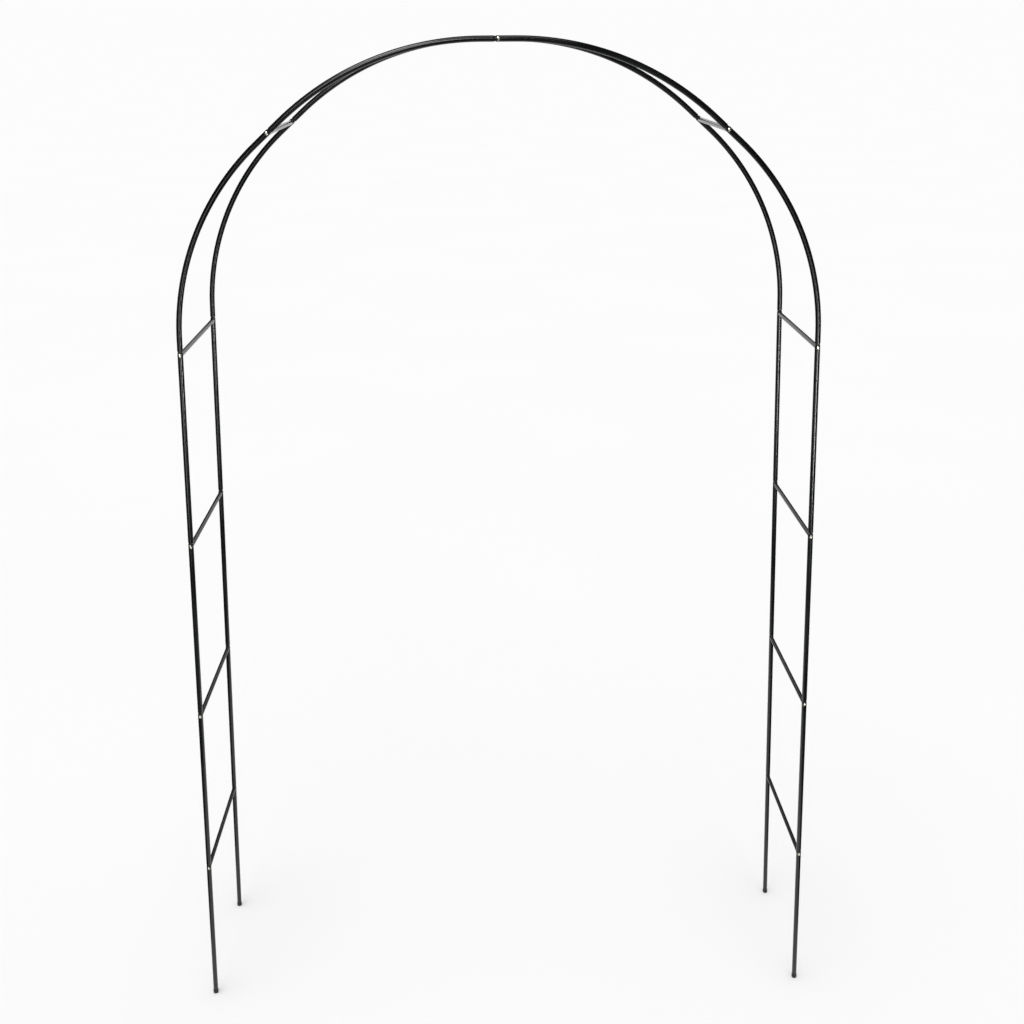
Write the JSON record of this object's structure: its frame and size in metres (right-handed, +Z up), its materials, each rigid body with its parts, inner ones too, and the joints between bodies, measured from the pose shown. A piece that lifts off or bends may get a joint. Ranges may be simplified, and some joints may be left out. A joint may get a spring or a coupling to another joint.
{
  "type": "metal trellis arch",
  "caption": "Free-standing garden arch: parallel hoops of black steel tube bolted together through crossbars, on capped feet, for climbing plants over a path.",
  "frame": {"origin": "on the floor, midway between the four feet", "axes": "+X to the right seen from the front, +Y from the front hoop to the rear hoop, +Z up"},
  "size_m": [1.5874, 0.3674, 2.4001],
  "materials": {
    "hoop_tube": "black powder coat, satin to gloss",
    "crossbar": "black powder coat, satin",
    "screw": "bright zinc plate",
    "insert": "plain steel",
    "foot_cap": "black moulded plastic"
  },
  "bodies": {
    "root": {"front_left_crown_tube": "hoop_tube", "front_left_shoulder_tube": "hoop_tube", "front_left_upper_leg_tube": "hoop_tube", "front_left_middle_leg_tube": "hoop_tube", "front_left_lower_leg_tube": "hoop_tube", "front_left_foot_tube": "hoop_tube", "front_right_crown_tube": "hoop_tube", "front_right_shoulder_tube": "hoop_tube", "front_right_upper_leg_tube": "hoop_tube", "front_right_middle_leg_tube": "hoop_tube", "front_right_lower_leg_tube": "hoop_tube", "front_right_foot_tube": "hoop_tube", "rear_left_crown_tube": "hoop_tube", "rear_left_shoulder_tube": "hoop_tube", "rear_left_upper_leg_tube": "hoop_tube", "rear_left_middle_leg_tube": "hoop_tube", "rear_left_lower_leg_tube": "hoop_tube", "rear_left_foot_tube": "hoop_tube", "rear_right_crown_tube": "hoop_tube", "rear_right_shoulder_tube": "hoop_tube", "rear_right_upper_leg_tube": "hoop_tube", "rear_right_middle_leg_tube": "hoop_tube", "rear_right_lower_leg_tube": "hoop_tube", "rear_right_foot_tube": "hoop_tube", "top_crossbar": "crossbar", "left_haunch_crossbar": "crossbar", "left_shoulder_crossbar": "crossbar", "left_upper_crossbar": "crossbar", "left_middle_crossbar": "crossbar", "left_lower_crossbar": "crossbar", "right_haunch_crossbar": "crossbar", "right_shoulder_crossbar": "crossbar", "right_upper_crossbar": "crossbar", "right_middle_crossbar": "crossbar", "right_lower_crossbar": "crossbar", "front_screws": "screw", "rear_screws": "screw", "front_inserts": "insert", "rear_inserts": "insert", "front_left_foot_cap": "foot_cap", "front_right_foot_cap": "foot_cap", "rear_left_foot_cap": "foot_cap", "rear_right_foot_cap": "foot_cap"}
  },
  "joints": []
}
